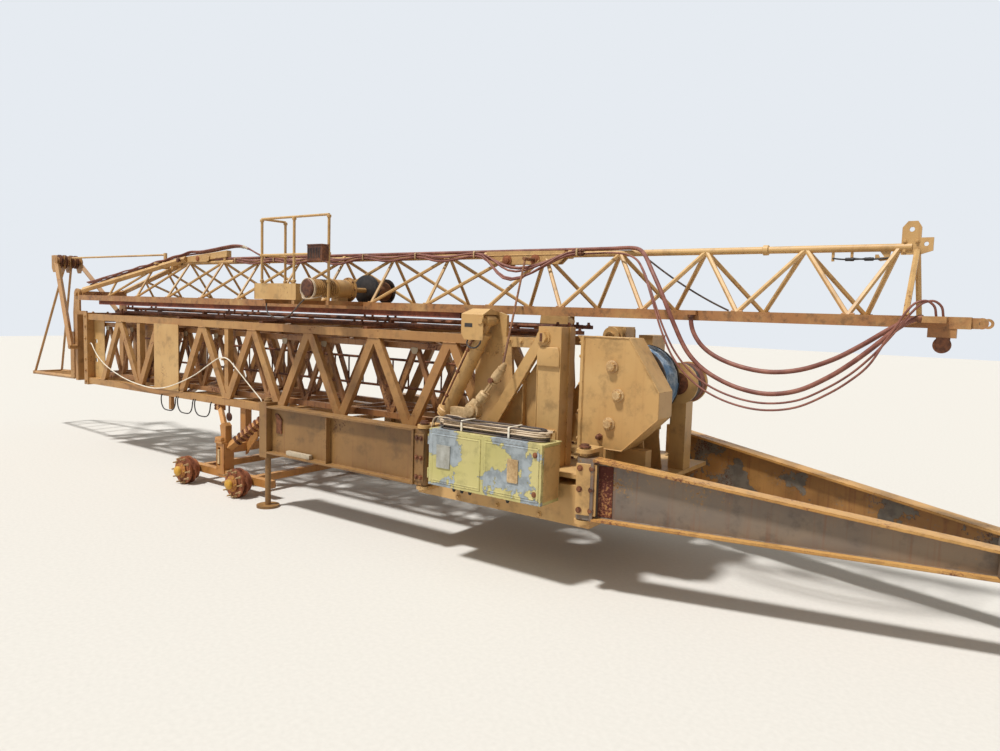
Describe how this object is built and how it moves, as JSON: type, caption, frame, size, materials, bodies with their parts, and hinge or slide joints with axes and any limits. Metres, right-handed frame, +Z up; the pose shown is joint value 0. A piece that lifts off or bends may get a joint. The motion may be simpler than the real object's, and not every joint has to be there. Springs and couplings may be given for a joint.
{
  "type": "tower crane",
  "caption": "Self-erecting tower crane folded for transport: lattice mast lying on a bare-hubbed bogie, lattice jib over it, slewing base with swing-out outriggers.",
  "frame": {"origin": "on the ground, below the middle of the folded crane's bounding box", "axes": "+X along the crane from the jib's pivot towards the base, +Y away from the side with the cabinet, +Z up"},
  "size_m": [16.6395, 2.5999, 3.615],
  "materials": {
    "ochre_paint": "faded ochre paint with rust along the edges",
    "cabinet_paint": "yellow-green paint, peeled to blue-grey",
    "rusty_steel": "brown rust over dark steel",
    "hub_steel": "orange rust",
    "rod_steel": "dull plated steel",
    "wire_rope": "weathered wire rope and fittings",
    "pale_rope": "off-white laid rope",
    "hose_rubber": "dusty red-brown sheath",
    "cable_sheath": "pale and dark cable sheaths"
  },
  "bodies": {
    "base": {"base_frame": "ochre_paint", "slew_platform": "ochre_paint", "hinge_posts": "ochre_paint", "ballast_boxes": "ochre_paint", "hoist_stand": "ochre_paint", "electric_cabinet": "cabinet_paint", "power_cable": "cable_sheath"},
    "hoist_drum": {"hoist_drum": "rusty_steel"},
    "cabinet_door": {"cabinet_door": "cabinet_paint"},
    "outrigger_rear_near": {"outrigger_rear_near": "ochre_paint"},
    "outrigger_rear_far": {"outrigger_rear_far": "ochre_paint"},
    "outrigger_front_near": {"outrigger_front_near": "ochre_paint"},
    "outrigger_front_far": {"outrigger_front_far": "ochre_paint"},
    "mast": {"mast_side_near": "ochre_paint", "mast_side_far": "ochre_paint", "mast_top_face": "ochre_paint", "mast_bottom_face": "ochre_paint", "mast_foot": "ochre_paint", "mast_collar": "ochre_paint", "mast_side_panel": "ochre_paint", "inner_side_near": "ochre_paint", "inner_side_far": "ochre_paint", "inner_top_face": "ochre_paint", "inner_bottom_face": "ochre_paint", "mast_head": "ochre_paint", "head_strut": "ochre_paint", "head_lattice": "ochre_paint", "tie_bars": "rusty_steel", "bogie_frame": "ochre_paint", "mast_rope": "pale_rope"},
    "hub_front_near": {"hub_front_near": "hub_steel"},
    "hub_front_far": {"hub_front_far": "hub_steel"},
    "hub_rear_near": {"hub_rear_near": "hub_steel"},
    "hub_rear_far": {"hub_rear_far": "hub_steel"},
    "jib": {"jib_side_near": "ochre_paint", "jib_side_far": "ochre_paint", "jib_top_chord": "ochre_paint", "jib_bottom_face": "ochre_paint", "jib_foot": "ochre_paint", "jib_yoke": "ochre_paint", "jib_end_frame": "ochre_paint", "service_cage": "ochre_paint", "trolley_winch_motor": "ochre_paint", "resistor_box": "rusty_steel", "tie_rod": "ochre_paint", "pendant": "wire_rope", "jib_hose": "hose_rubber", "clipped_hoses": "hose_rubber"},
    "trolley_drum": {"trolley_winch_drum": "rusty_steel"},
    "ram_barrels": {"ram_barrels": "ochre_paint"},
    "ram_rods": {"ram_rods": "rod_steel"}
  },
  "joints": [
    {"name": "mast_raise", "type": "hinge", "parent": "base", "child": "mast", "pos_m": [4.00023, 0.06, 2.3], "axis": [0, 1, 0], "range_deg": [0, 90]},
    {"name": "jib_fold", "type": "hinge", "parent": "mast", "child": "jib", "pos_m": [-6.13977, 0.06, 2.62], "axis": [0, -1, 0], "range_deg": [0, 90]},
    {"name": "ram_swing", "type": "hinge", "parent": "mast", "child": "ram_barrels", "pos_m": [3.31023, 0.06, 2.44], "axis": [0, -1, 0], "range_deg": [0, 77.98]},
    {"name": "ram_stroke", "type": "slide", "parent": "ram_barrels", "child": "ram_rods", "axis": [-0.4741, 0, -0.8805], "range_m": [0, 0.9274]},
    {"name": "rear_near_swing", "type": "hinge", "parent": "base", "child": "outrigger_rear_near", "pos_m": [2.76023, -1.04, 1], "axis": [0, 0, 1], "range_deg": [0, 45]},
    {"name": "rear_far_swing", "type": "hinge", "parent": "base", "child": "outrigger_rear_far", "pos_m": [2.76023, 1.16, 1], "axis": [0, 0, -1], "range_deg": [0, 45]},
    {"name": "front_near_swing", "type": "hinge", "parent": "base", "child": "outrigger_front_near", "pos_m": [4.67023, -1.04, 1], "axis": [0, 0, -1], "range_deg": [0, 59.5]},
    {"name": "front_far_swing", "type": "hinge", "parent": "base", "child": "outrigger_front_far", "pos_m": [4.67023, 1.16, 1], "axis": [0, 0, 1], "range_deg": [0, 59.5]},
    {"name": "hoist_turn", "type": "hinge", "parent": "base", "child": "hoist_drum", "pos_m": [4.77023, 0.06, 1.9], "axis": [0, 1, 0], "continuous": true},
    {"name": "trolley_turn", "type": "hinge", "parent": "jib", "child": "trolley_drum", "pos_m": [0.96023, 0.06, 2.745], "axis": [0, 1, 0], "continuous": true},
    {"name": "cabinet_door_turn", "type": "hinge", "parent": "base", "child": "cabinet_door", "pos_m": [3.03823, -1.289, 1.08], "axis": [0, 0, -1], "range_deg": [0, 110]},
    {"name": "hub_front_near_turn", "type": "hinge", "parent": "mast", "child": "hub_front_near", "pos_m": [-0.50977, -0.97, 0.19], "axis": [0, 1, 0], "continuous": true},
    {"name": "hub_front_far_turn", "type": "hinge", "parent": "mast", "child": "hub_front_far", "pos_m": [-0.50977, 1.09, 0.19], "axis": [0, 1, 0], "continuous": true},
    {"name": "hub_rear_near_turn", "type": "hinge", "parent": "mast", "child": "hub_rear_near", "pos_m": [-1.68977, -0.97, 0.19], "axis": [0, 1, 0], "continuous": true},
    {"name": "hub_rear_far_turn", "type": "hinge", "parent": "mast", "child": "hub_rear_far", "pos_m": [-1.68977, 1.09, 0.19], "axis": [0, 1, 0], "continuous": true}
  ],
  "couplings": [
    {"joint": "jib_fold", "follows": "mast_raise", "ratio": 1},
    {"joint": "ram_swing", "follows": "mast_raise", "ratio": 0.86639},
    {"joint": "ram_stroke", "follows": "mast_raise", "m_per_rad": 0.59034}
  ]
}
